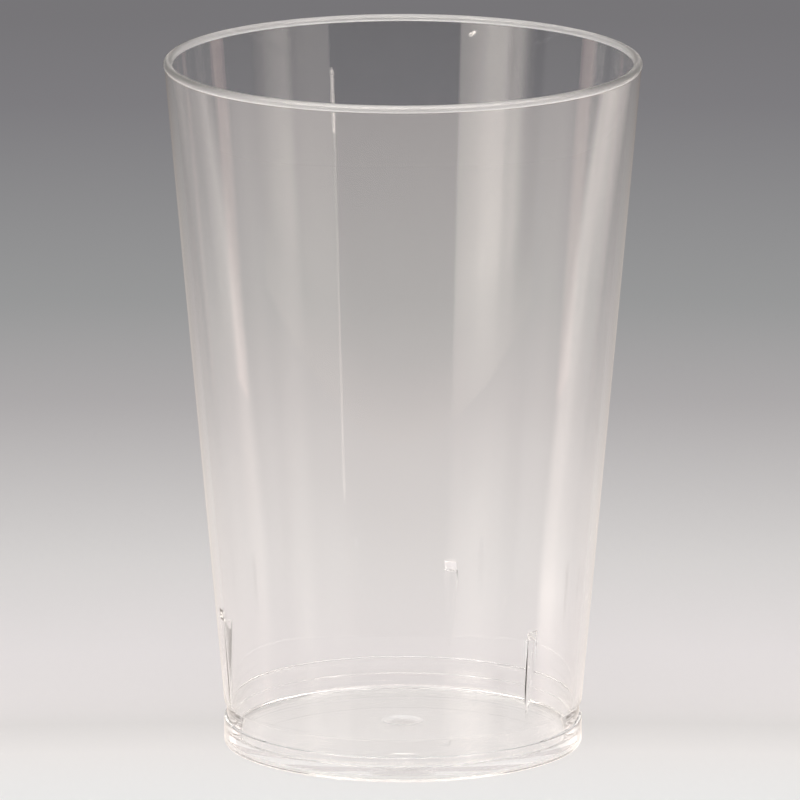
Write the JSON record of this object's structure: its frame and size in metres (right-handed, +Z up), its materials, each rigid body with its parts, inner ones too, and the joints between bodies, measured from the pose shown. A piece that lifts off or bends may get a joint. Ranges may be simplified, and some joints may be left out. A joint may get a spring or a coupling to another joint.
{
  "type": "plastic tumbler cup",
  "caption": "Clear moulded plastic tumbler with a tapered wall, rounded lip, sunk band above the foot, raised floor and inner stacking ribs.",
  "frame": {"origin": "middle of the foot ring's underside, on the surface that the cup stands on", "axes": "+Z up along the cup's axis, out of its mouth; +X and +Y level, with the first stacking rib 74 degrees from +X towards +Y"},
  "size_m": [0.078, 0.078, 0.114],
  "materials": {
    "clear_polystyrene": "polished mould, clear and glossy"
  },
  "bodies": {
    "root": {"tumbler": "clear_polystyrene"}
  },
  "joints": []
}
